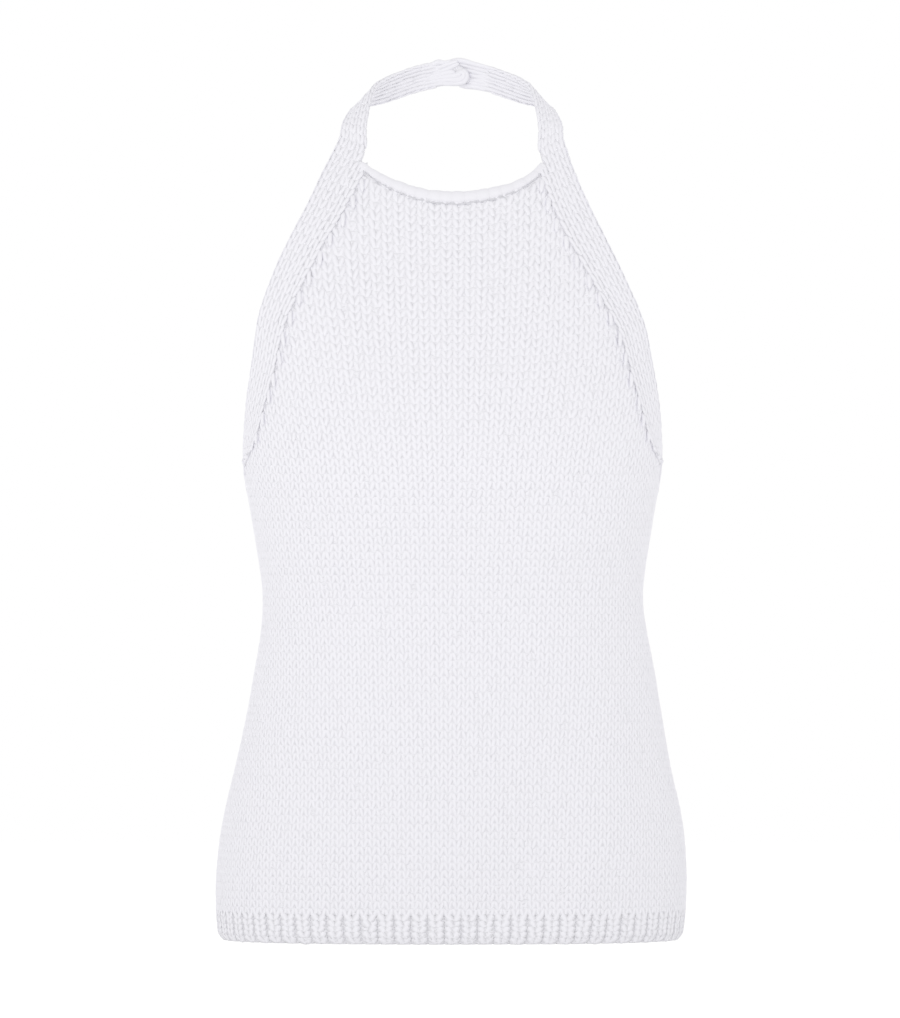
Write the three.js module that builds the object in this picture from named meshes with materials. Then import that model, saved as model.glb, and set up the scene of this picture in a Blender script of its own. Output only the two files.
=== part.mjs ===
// Halter neck top in thick hand-knit cotton, filled out as if worn, with no wearer.
// Millimetres, +Z up. The front faces -Y and +X is on the right of someone who faces the front.
// The origin is on the inner side of the strap at the nape, where the neck carries the top.
import * as THREE from "three";

// Knitted cloth
const WALL = 3;
const SEAM_GAP = 0.3;
const COTTON_COLOUR = 0xedecf2;
const COTTON_ROUGHNESS = 0.92;

// Heights of the main lines
const HEM_Z = -644.5;
const RIB_TOP_Z = -624;
const UNDERARM_Z = -306;
const BAND_FOOT_Z = -318;
const BACK_TOP_DIP = 16;

// Body form, one row for each height: half the width, and the front, side seam and back lines
const FORM_ROWS = [
  { z: HEM_Z, halfWidth: 168.5, frontY: -169, sideY: -58, backY: 46 },
  { z: -640.5, halfWidth: 171.5, frontY: -172.5, sideY: -58, backY: 50.5 },
  { z: -632.5, halfWidth: 173, frontY: -174, sideY: -58, backY: 53 },
  { z: -618, halfWidth: 174, frontY: -175, sideY: -58, backY: 55 },
  { z: -595, halfWidth: 174, frontY: -176, sideY: -59, backY: 57 },
  { z: -560, halfWidth: 170.5, frontY: -176, sideY: -60, backY: 55 },
  { z: -510, halfWidth: 159.5, frontY: -175, sideY: -62, backY: 43 },
  { z: -450, halfWidth: 148.5, frontY: -172, sideY: -66, backY: 22 },
  { z: -394, halfWidth: 140.5, frontY: -174, sideY: -70, backY: 11 },
  { z: -340, halfWidth: 147.2, frontY: -190, sideY: -75, backY: 19 },
  { z: -290, halfWidth: 155.5, frontY: -200, sideY: -76, backY: 28 },
  { z: -240, halfWidth: 158.5, frontY: -190, sideY: -73, backY: 32 },
  { z: -190, halfWidth: 157.5, frontY: -172, sideY: -66, backY: 33 },
  { z: -140, halfWidth: 149, frontY: -149, sideY: -57, backY: 28 },
  { z: -97, halfWidth: 134, frontY: -127, sideY: -49, backY: 20 },
  { z: -50, halfWidth: 111, frontY: -96, sideY: -39.5, backY: 8 },
];
// The edges away from the middle hang a little to one side: sideways shift at each height
const SWAY_ROWS = [
  { z: -648, shift: -1.6 },
  { z: -600, shift: -0.9 },
  { z: -560, shift: 0 },
  { z: -520, shift: 0.3 },
  { z: -480, shift: 1.2 },
  { z: -430, shift: 1.4 },
  { z: -394, shift: 0.3 },
  { z: -340, shift: 0 },
  { z: -240, shift: 0 },
  { z: -200, shift: -0.8 },
  { z: -175, shift: -2.4 },
  { z: -140, shift: -3.6 },
  { z: -100, shift: -3.3 },
  { z: -75, shift: -2.8 },
  { z: -60, shift: -1.8 },
  { z: -45, shift: -0.6 },
  { z: -30, shift: 0 },
  { z: 10, shift: 0 },
];
const SWAY_FROM_X = 60;
const SWAY_FULL_X = 95;
// Below 1 the section is squarer than an ellipse
const SECTION_POWER = 0.8;
const QUARTER_STEPS = 96;

// Largest soft folds: arc and height of the middle, half-length, half-width, lean from upright
// in degrees towards +X, and how far the cloth stands out
const FRONT_FOLDS = [
  { arc: -4, z: -560, reach: 95, spread: 30, lean: 3, rise: 2.6 },
  { arc: 52, z: -585, reach: 80, spread: 30, lean: 14, rise: -2.8 },
  { arc: -112, z: -486, reach: 62, spread: 20, lean: 64, rise: 2.6 },
  { arc: -118, z: -528, reach: 60, spread: 26, lean: 70, rise: -2.4 },
  { arc: 150, z: -500, reach: 85, spread: 24, lean: -12, rise: -2.6 },
  { arc: 112, z: -575, reach: 70, spread: 24, lean: 10, rise: 1.8 },
  { arc: 96, z: -352, reach: 60, spread: 17, lean: 72, rise: 1.6 },
  { arc: -98, z: -366, reach: 55, spread: 16, lean: -74, rise: 1.5 },
];
const BACK_FOLDS = [
  { arc: -12, z: -408, reach: 110, spread: 15, lean: 88, rise: 2.4 },
  { arc: 20, z: -441, reach: 95, spread: 14, lean: 93, rise: 1.8 },
  { arc: 48, z: -572, reach: 80, spread: 26, lean: -6, rise: -2.6 },
  { arc: -70, z: -560, reach: 85, spread: 28, lean: 8, rise: -2.2 },
];

// Armhole edge, one row for each height of the edge, from the underarm to the neck: how far it
// is cut in from the side seam, and how much lower the inner line of the edge band lies
const ARMHOLE_ROWS = [
  { z: BAND_FOOT_Z, cutIn: 0, drop: -12 },
  { z: UNDERARM_Z, cutIn: 1, drop: -11 },
  { z: -300, cutIn: 12.5, drop: -8 },
  { z: -290, cutIn: 23, drop: -4 },
  { z: -272, cutIn: 36.5, drop: 2 },
  { z: -246, cutIn: 47.5, drop: 5 },
  { z: -216, cutIn: 57, drop: 6 },
  { z: -187, cutIn: 60.5, drop: 7 },
  { z: -157, cutIn: 67, drop: 8 },
  { z: -127, cutIn: 71, drop: 8 },
  { z: -98, cutIn: 70.7, drop: 8 },
  { z: -72, cutIn: 63.8, drop: 8 },
  { z: -53, cutIn: 56.8, drop: 8 },
];
const BAND_WIDTH = 22;
const BAND_STEPS = 16;
// Above 1 the steps along the edge are closer together at the underarm
const BAND_STEP_POWER = 1.35;
const BAND_COLUMNS = 4;

// Free strap on the +X side, from the neckline corner to the nape: its neck edge and its
// shoulder edge, on the outer side of the cloth
const STRAP_ROWS = [
  { neckX: 64.3, neckY: -88, neckZ: -47, armX: 82, armY: -75, armZ: -42 },
  { neckX: 62.8, neckY: -75, neckZ: -32, armX: 78.5, armY: -61.5, armZ: -34 },
  { neckX: 60.5, neckY: -58, neckZ: -19, armX: 74.8, armY: -47.5, armZ: -29.5 },
  { neckX: 57.5, neckY: -41, neckZ: -10.5, armX: 69.2, armY: -33, armZ: -27 },
  { neckX: 53, neckY: -28, neckZ: -6.5, armX: 60.8, armY: -21, armZ: -25.7 },
  { neckX: 47.5, neckY: -18, neckZ: -3.2, armX: 51.5, armY: -12.3, armZ: -23.5 },
  { neckX: 39, neckY: -9.5, neckZ: 0.3, armX: 41.5, armY: -5, armZ: -20 },
  { neckX: 27, neckY: -2.5, neckZ: 4.4, armX: 28.3, armY: 0.5, armZ: -15.7 },
  { neckX: 13, neckY: 2, neckZ: 7.3, armX: 13.5, armY: 3.5, armZ: -12.2 },
  { neckX: 0, neckY: 3, neckZ: 8.5, armX: 0, armY: 3.8, armZ: -10.5 },
];
const STRAP_STEPS_PER_ROW = 3;
const STRAP_CROWN = 0.8;
// The -X strap's end passes the middle and lies inside the other strap's end
const LAP_LONG_END_X = 8;
const LAP_SHORT_END_X = 1;
const LAP_START_X = 24;

// Rolled neckline: its middle line dips from the corners to the centre
const ROLL_CORNER_Z = -72.5;
const ROLL_DIP = 24.5;
// Shares of the dip that are taken up close to the -X end and the +X end
const ROLL_LEFT_UPTURN = 0.04;
const ROLL_RIGHT_UPTURN = 0.28;
const ROLL_HALF_HEIGHT = 5;
const ROLL_END_HALF_HEIGHT = 2.8;
const ROLL_HALF_DEPTH = 3.2;
const ROLL_END_HALF_DEPTH = 2.2;
const ROLL_STANDS_OUT = 0.6;
const ROLL_END_GAP = 1.8;
const ROLL_STEPS = 36;
const ROLL_SIDES = 8;

// Hem rib: one raised knit rib and one sunk purl rib to each two wales
const RIBS_EACH_SIDE = 39;
const RIB_RISE = 0.7;
const RIB_SINK = 1.6;
const RIB_ROW_HEIGHTS = [HEM_Z, -640.5, -632.5, RIB_TOP_Z];
const RIB_ROW_STRENGTHS = [1, 1, 0.8, 0.35];

// Mesh steps of the panels
const PANEL_COLUMNS = 30;
const SKIRT_ROWS = 14;
const BACK_COLUMNS = 26;
const BACK_ROWS = 14;

const FORM_VALUES = ["halfWidth", "frontY", "sideY", "backY"];
const smoothForm = smoothTable(FORM_ROWS, "z", FORM_VALUES);
const smoothArmhole = smoothTable(ARMHOLE_ROWS, "z", ["cutIn", "drop"]);
const smoothSway = smoothTable(SWAY_ROWS, "z", ["shift"]);

// A smooth curve through the rows of a table, as a function of one column
function smoothTable(rows, key, names) {
  const keys = rows.map((row) => row[key]);
  const samples = rows.flatMap((row) => names.map((name) => row[name]));
  const room = new Float32Array(names.length);
  const spline = new THREE.CubicInterpolant(keys, samples, names.length, room);
  return (at) => {
    const found = spline.evaluate(at);
    return Object.fromEntries(names.map((name, i) => [name, found[i]]));
  };
}

// Sideways place of a point with its share of the sway
function swayed(x, z) {
  const share = THREE.MathUtils.smoothstep(Math.abs(x), SWAY_FROM_X, SWAY_FULL_X);
  return x + share * smoothSway(z).shift;
}

// A quarter of the section at one height, from the front or back centre to the side seam,
// with the length of cloth from the centre to each of its points
const knownQuarters = new Map();
function quarterSection(z, back) {
  const label = z.toFixed(3) + (back ? "b" : "f");
  if (knownQuarters.has(label)) return knownQuarters.get(label);
  const form = smoothForm(z);
  const depth = back ? form.backY - form.sideY : form.sideY - form.frontY;
  const xs = [];
  const ys = [];
  const arcs = [];
  for (let i = 0; i <= QUARTER_STEPS; i++) {
    const turn = ((i / QUARTER_STEPS) * Math.PI) / 2;
    xs.push(form.halfWidth * Math.sin(turn) ** SECTION_POWER);
    ys.push(depth * Math.max(0, Math.cos(turn)) ** SECTION_POWER);
    arcs.push(i ? arcs[i - 1] + Math.hypot(xs[i] - xs[i - 1], ys[i] - ys[i - 1]) : 0);
  }
  const quarter = { form, depth, xs, ys, arcs, length: arcs[QUARTER_STEPS] };
  knownQuarters.set(label, quarter);
  return quarter;
}

const halfFront = (z) => quarterSection(z, false).length;
const halfBack = (z) => quarterSection(z, true).length;

// How far the folds lift the cloth at an arc from the centre of its half
function foldRise(folds, arc, z) {
  return folds.reduce((sum, fold) => {
    const lean = THREE.MathUtils.degToRad(fold.lean);
    const aside = arc - fold.arc;
    const up = z - fold.z;
    const along = (up * Math.cos(lean) + aside * Math.sin(lean)) / fold.reach;
    const across = (aside * Math.cos(lean) - up * Math.sin(lean)) / fold.spread;
    return sum + fold.rise * Math.exp(-along * along - across * across);
  }, 0);
}

// Point of the outer face at an arc round the body from the front centre, positive to +X
function ringPoint(z, arc) {
  const front = halfFront(z);
  const half = front + halfBack(z);
  const wrapped = THREE.MathUtils.euclideanModulo(arc + half, 2 * half) - half;
  const side = Math.sign(wrapped) || 1;
  const reach = Math.abs(wrapped);
  const back = reach > front;
  const quarter = quarterSection(z, back);
  const fromCentre = back ? half - reach : reach;
  let i = quarter.arcs.findIndex((length) => length >= fromCentre);
  if (i < 0) i = QUARTER_STEPS;
  i = Math.max(1, i);
  const span = quarter.arcs[i] - quarter.arcs[i - 1];
  const part = (fromCentre - quarter.arcs[i - 1]) / span;
  const x = THREE.MathUtils.lerp(quarter.xs[i - 1], quarter.xs[i], part);
  const y = THREE.MathUtils.lerp(quarter.ys[i - 1], quarter.ys[i], part);
  const { halfWidth, sideY } = quarter.form;
  const steep = 2 / SECTION_POWER - 1;
  const outX = (x / halfWidth) ** steep / halfWidth;
  const outY = (y / quarter.depth) ** steep / quarter.depth;
  const size = Math.hypot(outX, outY);
  const rise = foldRise(back ? BACK_FOLDS : FRONT_FOLDS, side * fromCentre, z);
  const fade = THREE.MathUtils.smoothstep(Math.abs(reach - front), 0, 30);
  const lift = rise * fade;
  const facing = back ? 1 : -1;
  return new THREE.Vector3(
    swayed(side * (x + (outX / size) * lift), z),
    sideY + facing * (y + (outY / size) * lift),
    z,
  );
}

// Outer point and outward direction of the body form
function formAt(z, arc) {
  const step = 0.8;
  const across = ringPoint(z, arc + step).sub(ringPoint(z, arc - step));
  const shareOfHalf = arc / (halfFront(z) + halfBack(z));
  const arcAt = (level) => shareOfHalf * (halfFront(level) + halfBack(level));
  const higher = ringPoint(z + step, arcAt(z + step));
  const up = higher.sub(ringPoint(z - step, arcAt(z - step)));
  return { point: ringPoint(z, arc), out: across.cross(up).normalize() };
}

const offset = (spot, distance) => spot.point.clone().addScaledVector(spot.out, distance);

// Closed wall between an outer and an inner grid of points; columns run to +X and rows run
// up when seen from outside
function closedWall(outer, inner) {
  const rows = outer.length;
  const columns = outer[0].length;
  const positions = [...outer.flat(), ...inner.flat()].flatMap((point) => point.toArray());
  const faces = [];
  const at = (layer, r, c) => (layer * rows + r) * columns + c;
  const quad = (a, b, c, d) => faces.push(a, b, c, a, c, d);
  for (let r = 0; r < rows - 1; r++) {
    for (let c = 0; c < columns - 1; c++) {
      quad(at(0, r, c), at(0, r, c + 1), at(0, r + 1, c + 1), at(0, r + 1, c));
      quad(at(1, r, c), at(1, r + 1, c), at(1, r + 1, c + 1), at(1, r, c + 1));
    }
    const last = columns - 1;
    quad(at(0, r, 0), at(0, r + 1, 0), at(1, r + 1, 0), at(1, r, 0));
    quad(at(0, r, last), at(1, r, last), at(1, r + 1, last), at(0, r + 1, last));
  }
  for (let c = 0; c < columns - 1; c++) {
    const top = rows - 1;
    quad(at(0, 0, c), at(1, 0, c), at(1, 0, c + 1), at(0, 0, c + 1));
    quad(at(0, top, c), at(0, top, c + 1), at(1, top, c + 1), at(1, top, c));
  }
  const geometry = new THREE.BufferGeometry();
  geometry.setAttribute("position", new THREE.Float32BufferAttribute(positions, 3));
  geometry.setIndex(faces);
  return geometry;
}

const wallFrom = (spots) =>
  closedWall(
    spots.map((row) => row.map((spot) => spot.point)),
    spots.map((row) => row.map((spot) => offset(spot, -WALL))),
  );

const range = (count) => Array.from({ length: count + 1 }, (_, i) => i / count);

// Edge band on the body at one height of the armhole edge: arcs of its two lines, +X side
function bandStation(edgeZ) {
  const { cutIn, drop } = smoothArmhole(edgeZ);
  const edgeArc = halfFront(edgeZ) - SEAM_GAP / 2 - Math.max(0, cutIn);
  const lineZ = edgeZ - drop;
  const width = Math.sqrt(BAND_WIDTH ** 2 - drop ** 2);
  return { edgeZ, edgeArc, lineZ, lineArc: edgeArc - width };
}

const lowerLimit = ARMHOLE_ROWS[0].z;
const upperLimit = ARMHOLE_ROWS[ARMHOLE_ROWS.length - 1].z;
const bandStations = range(BAND_STEPS).map((part) =>
  bandStation(THREE.MathUtils.lerp(lowerLimit, upperLimit, part ** BAND_STEP_POWER)),
);

// Arc of the band's inner line at a height between two of its stations
function lineArcAt(z) {
  const above = bandStations.findIndex((station) => station.lineZ >= z);
  const high = bandStations[above];
  const low = bandStations[above - 1];
  const part = (z - low.lineZ) / (high.lineZ - low.lineZ);
  return THREE.MathUtils.lerp(low.lineArc, high.lineArc, part);
}

// Middle line of the neck roll at a share of the way from the centre to a corner
const rollEndArc = lineArcAt(ROLL_CORNER_Z) - ROLL_END_GAP;
function rollRise(share) {
  const upturn = share < 0 ? ROLL_LEFT_UPTURN : ROLL_RIGHT_UPTURN;
  return (1 - upturn) * share ** 2 + upturn * share ** 8;
}
const rollZ = (share) => ROLL_CORNER_Z - ROLL_DIP * (1 - rollRise(share));
const rollHalfHeight = (share) =>
  THREE.MathUtils.lerp(ROLL_HALF_HEIGHT, ROLL_END_HALF_HEIGHT, share * share);

// Height of the cloth's cut edge just under the roll
function necklineZ(arc) {
  const share = arc / rollEndArc;
  return rollZ(share) - rollHalfHeight(share) * (1 + 0.2 * share * share) - SEAM_GAP;
}

function frontPanel() {
  const skirtRows = range(SKIRT_ROWS).map((part) => {
    const z = THREE.MathUtils.lerp(RIB_TOP_Z + SEAM_GAP, BAND_FOOT_Z - 2 * SEAM_GAP, part);
    return { centreZ: z, endZ: z, endArc: halfFront(z) - SEAM_GAP / 2 };
  });
  const foot = bandStations[0].lineZ;
  const topZ = necklineZ(rollEndArc);
  const lines = bandStations
    .filter((station) => station.lineZ < topZ - WALL)
    .map(({ lineZ, lineArc }) => ({ endZ: lineZ, endArc: lineArc - SEAM_GAP }));
  lines.push({ endZ: topZ, endArc: lineArcAt(topZ) - SEAM_GAP });
  const bibRows = lines.map(({ endZ, endArc }) => {
    const centreZ = THREE.MathUtils.mapLinear(endZ, foot, topZ, foot, necklineZ(0));
    return { centreZ, endZ, endArc };
  });
  const heightAt = ({ centreZ, endZ, endArc }, share) => {
    const z = THREE.MathUtils.lerp(centreZ, endZ, share * share);
    return endZ === topZ ? Math.min(endZ, necklineZ(share * endArc)) : z;
  };
  const grid = [...skirtRows, ...bibRows].map((row) =>
    range(PANEL_COLUMNS).map((part) => {
      const share = 2 * part - 1;
      return formAt(heightAt(row, share), share * row.endArc);
    }),
  );
  return wallFrom(grid);
}

function backPanel() {
  const grid = range(BACK_ROWS).map((rowPart) =>
    range(BACK_COLUMNS).map((part) => {
      const share = 2 * part - 1;
      const top = UNDERARM_Z - BACK_TOP_DIP * (1 - Math.abs(share) ** 2.4);
      const z = THREE.MathUtils.lerp(RIB_TOP_Z + SEAM_GAP, top, rowPart);
      const reach = halfBack(z) - SEAM_GAP / 2;
      return formAt(z, halfFront(z) + halfBack(z) + share * reach);
    }),
  );
  return wallFrom(grid);
}

// Hem rib on the front or back: raised ribs outside, plain inside
function hemRib(back) {
  const steps = 4 * RIBS_EACH_SIDE;
  const outer = [];
  const inner = [];
  RIB_ROW_HEIGHTS.forEach((z, r) => {
    const middle = back ? halfFront(z) + halfBack(z) : 0;
    const reach = (back ? halfBack(z) : halfFront(z)) - SEAM_GAP / 2;
    const spots = range(steps).map((part) => formAt(z, middle + (2 * part - 1) * reach));
    const rise = (c) => {
      const wave = -Math.cos((c * Math.PI) / 2);
      return RIB_ROW_STRENGTHS[r] * (wave > 0 ? wave * RIB_RISE : wave * RIB_SINK);
    };
    outer.push(spots.map((spot, c) => offset(spot, rise(c))));
    inner.push(spots.map((spot) => offset(spot, -WALL - RIB_SINK / 2)));
  });
  return closedWall(outer, inner);
}

// Edge band and halter strap on one side, from the underarm to the nape
function strap(side) {
  const shares = range(BAND_COLUMNS);
  const onBody = bandStations.map(({ edgeZ, edgeArc, lineZ, lineArc }) =>
    shares.map((share) => {
      const z = THREE.MathUtils.lerp(lineZ, edgeZ, share);
      return formAt(z, side * THREE.MathUtils.lerp(lineArc, edgeArc, share));
    }),
  );
  const nextToLast = onBody[onBody.length - 2];
  const last = onBody[onBody.length - 1];
  const point = (x, y, z) => new THREE.Vector3(swayed(side * x, z), y, z);
  const nape = STRAP_ROWS[STRAP_ROWS.length - 1];
  const before = STRAP_ROWS[STRAP_ROWS.length - 2];
  const pastNape = { ...before, neckX: -before.neckX, armX: -before.armX };
  const rows = [...STRAP_ROWS, pastNape];
  const neckEdge = new THREE.CatmullRomCurve3([
    nextToLast[0].point,
    last[0].point,
    ...rows.map((row) => point(row.neckX, row.neckY, row.neckZ)),
  ]);
  const armEdge = new THREE.CatmullRomCurve3([
    nextToLast[BAND_COLUMNS].point,
    last[BAND_COLUMNS].point,
    ...rows.map((row) => point(row.armX, row.armY, row.armZ)),
  ]);
  const spans = rows.length + 1;
  const lapRows = LAP_LONG_END_X / (before.neckX - nape.neckX);
  const shortRows = -LAP_SHORT_END_X / (before.neckX - nape.neckX);
  const endSpan = STRAP_ROWS.length + 1 + (side < 0 ? lapRows : shortRows);
  const steps = STRAP_STEPS_PER_ROW * STRAP_ROWS.length;
  const across = (at) => armEdge.getPoint(at / spans).sub(neckEdge.getPoint(at / spans));
  const outAt = (at) => {
    const ahead = neckEdge.getPoint((at + 0.05) / spans);
    ahead.sub(neckEdge.getPoint((at - 0.05) / spans));
    return across(at).cross(ahead).multiplyScalar(side).normalize();
  };
  const free = range(steps)
    .slice(1)
    .map((part) => {
      const at = THREE.MathUtils.lerp(1, endSpan, part);
      const out = outAt(at);
      return shares.map((share) => {
        const spot = neckEdge.getPoint(at / spans).addScaledVector(across(at), share);
        const crown = STRAP_CROWN * 4 * share * (1 - share) * Math.min(1, at - 1);
        spot.addScaledVector(out, crown);
        const nearLap = 1 - THREE.MathUtils.smoothstep(Math.abs(spot.x), LAP_LONG_END_X, LAP_START_X);
        if (side > 0) spot.y += nearLap * (WALL + SEAM_GAP);
        return { point: spot, out };
      });
    });
  const grid = [...onBody, ...free];
  return wallFrom(side > 0 ? grid : grid.map((row) => [...row].reverse()));
}

// Rolled knitted edge along the neckline, an oval tube with its ends at the straps
function neckRoll() {
  const rings = range(ROLL_STEPS).map((part) => {
    const share = 2 * part - 1;
    const z = rollZ(share);
    const spot = formAt(z, share * rollEndArc);
    const step = 0.01;
    const next = formAt(rollZ(share + step), (share + step) * rollEndArc).point;
    const along = next.sub(spot.point).normalize();
    const up = along.clone().cross(spot.out).normalize().negate();
    const high = rollHalfHeight(share) * Math.cos(Math.asin(along.z));
    const deep = THREE.MathUtils.lerp(ROLL_HALF_DEPTH, ROLL_END_HALF_DEPTH, share * share);
    const middle = offset(spot, -WALL / 2 + ROLL_STANDS_OUT);
    return range(ROLL_SIDES)
      .slice(0, ROLL_SIDES)
      .map((turn) => {
        const angle = 2 * Math.PI * turn;
        const place = middle.clone().addScaledVector(up, high * Math.cos(angle));
        return place.addScaledVector(spot.out, deep * Math.sin(angle));
      });
  });
  return closedTube(rings);
}

// Closed tube through rings of points, with a flat cap at each end
function closedTube(rings) {
  const sides = rings[0].length;
  const positions = rings.flat().flatMap((point) => point.toArray());
  const faces = [];
  const at = (r, s) => r * sides + (s % sides);
  for (let r = 0; r < rings.length - 1; r++) {
    for (let s = 0; s < sides; s++) {
      faces.push(at(r, s), at(r, s + 1), at(r + 1, s + 1));
      faces.push(at(r, s), at(r + 1, s + 1), at(r + 1, s));
    }
  }
  const last = rings.length - 1;
  for (let s = 1; s < sides - 1; s++) {
    faces.push(at(0, 0), at(0, s + 1), at(0, s));
    faces.push(at(last, 0), at(last, s), at(last, s + 1));
  }
  const geometry = new THREE.BufferGeometry();
  geometry.setAttribute("position", new THREE.Float32BufferAttribute(positions, 3));
  geometry.setIndex(faces);
  return geometry;
}

const cotton = () =>
  new THREE.MeshStandardMaterial({
    color: COTTON_COLOUR,
    roughness: COTTON_ROUGHNESS,
    metalness: 0,
  });

const top = new THREE.Group();
function addPiece(name, geometry) {
  geometry.computeVertexNormals();
  const mesh = new THREE.Mesh(geometry, cotton());
  mesh.name = name;
  top.add(mesh);
}

addPiece("front_panel", frontPanel());
addPiece("back_panel", backPanel());
addPiece("hem_rib_front", hemRib(false));
addPiece("hem_rib_back", hemRib(true));
addPiece("strap_left", strap(-1));
addPiece("strap_right", strap(1));
addPiece("neck_roll", neckRoll());

export default top;
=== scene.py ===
import math

import bpy
import numpy as np
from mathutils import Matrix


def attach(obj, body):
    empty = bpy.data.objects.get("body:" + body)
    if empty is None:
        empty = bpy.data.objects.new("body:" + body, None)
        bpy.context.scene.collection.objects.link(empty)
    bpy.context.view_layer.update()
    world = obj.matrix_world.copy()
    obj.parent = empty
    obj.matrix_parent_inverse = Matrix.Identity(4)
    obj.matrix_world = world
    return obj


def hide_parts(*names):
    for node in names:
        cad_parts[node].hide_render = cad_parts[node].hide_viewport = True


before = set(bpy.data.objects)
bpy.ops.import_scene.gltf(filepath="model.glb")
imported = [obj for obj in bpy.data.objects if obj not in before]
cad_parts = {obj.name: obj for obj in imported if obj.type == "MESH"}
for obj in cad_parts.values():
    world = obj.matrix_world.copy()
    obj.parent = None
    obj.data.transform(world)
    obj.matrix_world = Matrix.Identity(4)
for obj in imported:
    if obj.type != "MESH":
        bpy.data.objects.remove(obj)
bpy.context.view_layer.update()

# Everything below is worked out in millimetres and becomes metres when a mesh is made.
MM = 0.001
BODY = "root"

# Knitted cloth, with the sizes of the solids
WALL = 3
SEAM_GAP = 0.3
HEM_Z = -644.5
RIB_TOP_Z = -624
UNDERARM_Z = -306
BACK_TOP_DIP = 16
SECTION_POWER = 0.8
BAND_WIDTH = 22
BAND_STEPS = 16
BAND_STEP_POWER = 1.35
STRAP_CROWN = 0.8
LAP_START_X = 24
LAP_SHORT_END_X = 1
ROLL_CORNER_Z = -72.5
ROLL_DIP = 24.5
ROLL_LEFT_UPTURN = 0.04
ROLL_RIGHT_UPTURN = 0.28
ROLL_HALF_HEIGHT = 5.0
ROLL_END_HALF_HEIGHT = 2.8
ROLL_HALF_DEPTH = 3.2
ROLL_END_HALF_DEPTH = 2.2
ROLL_STANDS_OUT = 0.6
ROLL_END_GAP = 1.8
SWAY_FROM_X = 60
SWAY_FULL_X = 95
RIBS_EACH_SIDE = 39
RIB_RISE = 0.7
RIB_SINK = 1.6

# Thin cloth under the loops: its two faces lie this deep under the outermost form
CLOTH_DEPTH = 0.16
CLOTH_BACK = 2.5

# Courses are rows of loops, and wales are columns of loops
COURSE = 5.7
FRONT_COURSES = 92
BACK_COURSES = 53
RIB_COURSES = 5
STRAP_COURSE = 7.6
STRAP_WALES = 3
YARN_WIDTH_SHARE = 0.295
YARN_HALF_DEPTH = 0.44
RIB_LOOP_WIDTH = 10.5

rng = np.random.default_rng(8)


class Table:
    """Rows with named columns, joined by the smooth curve that the solids use."""

    def __init__(self, names, rows):
        self.names = names.split()
        self.rows = np.array(rows, float)

    def at(self, key):
        """The columns after the first, at values of the first one."""
        keys, last = self.rows[:, 0], len(self.rows) - 1
        key = np.clip(key, keys[0], keys[-1])
        i = np.clip(np.searchsorted(keys, key, "right"), 1, last)
        low, high = keys[i - 1], keys[i]
        before = np.where(i > 1, i - 2, i)
        after = np.where(i < last, i + 1, i - 1)
        half = (high - low) / 2
        down = half / (low - keys[before])
        up = half / (keys[after] - high)
        p = (key - low) / (high - low)
        weights = (
            (before, -down * p**3 + 2 * down * p**2 - down * p),
            (i - 1, (1 + down) * p**3 + (-1.5 - 2 * down) * p**2 + (down - 0.5) * p + 1),
            (i, (-1 - up) * p**3 + (1.5 + up) * p**2 + 0.5 * p),
            (after, up * p**3 - up * p**2),
        )
        return {
            name: sum(self.rows[row, c + 1] * weight for row, weight in weights)
            for c, name in enumerate(self.names[1:])
        }


# Body form: half the width, and the front, side seam and back lines, at each height
FORM = Table("z half_width front_y side_y back_y", [
    (-644.5, 168.5, -169, -58, 46),
    (-640.5, 171.5, -172.5, -58, 50.5),
    (-632.5, 173, -174, -58, 53),
    (-618, 174, -175, -58, 55),
    (-595, 174, -176, -59, 57),
    (-560, 170.5, -176, -60, 55),
    (-510, 159.5, -175, -62, 43),
    (-450, 148.5, -172, -66, 22),
    (-394, 140.5, -174, -70, 11),
    (-340, 147.2, -190, -75, 19),
    (-290, 155.5, -200, -76, 28),
    (-240, 158.5, -190, -73, 32),
    (-190, 157.5, -172, -66, 33),
    (-140, 149, -149, -57, 28),
    (-97, 134, -127, -49, 20),
    (-50, 111, -96, -39.5, 8),
])

# The edges away from the middle hang a little to one side: sideways shift at each height
SWAY = Table("z shift", [
    (-648, -1.6),
    (-600, -0.9),
    (-560, 0),
    (-520, 0.3),
    (-480, 1.2),
    (-430, 1.4),
    (-394, 0.3),
    (-340, 0),
    (-240, 0),
    (-200, -0.8),
    (-175, -2.4),
    (-140, -3.6),
    (-100, -3.3),
    (-75, -2.8),
    (-60, -1.8),
    (-45, -0.6),
    (-30, 0),
    (10, 0),
])

# Armhole edge: how far it is cut in from the side seam, and how much lower the inner line lies
ARMHOLE = Table("z cut_in drop", [
    (-318, 0, -12),
    (-306, 1, -11),
    (-300, 12.5, -8),
    (-290, 23, -4),
    (-272, 36.5, 2),
    (-246, 47.5, 5),
    (-216, 57, 6),
    (-187, 60.5, 7),
    (-157, 67, 8),
    (-127, 71, 8),
    (-98, 70.7, 8),
    (-72, 63.8, 8),
    (-53, 56.8, 8),
])

# Width of one wale at each height
WALE = Table("z width", [
    (-648, 6.15),
    (-620, 6.15),
    (-560, 6.2),
    (-500, 6.3),
    (-394, 6.6),
    (-340, 6.9),
    (-290, 7.3),
    (-240, 7.9),
    (-172, 8.5),
    (-90, 8.9),
    (-50, 8.9),
])

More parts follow.
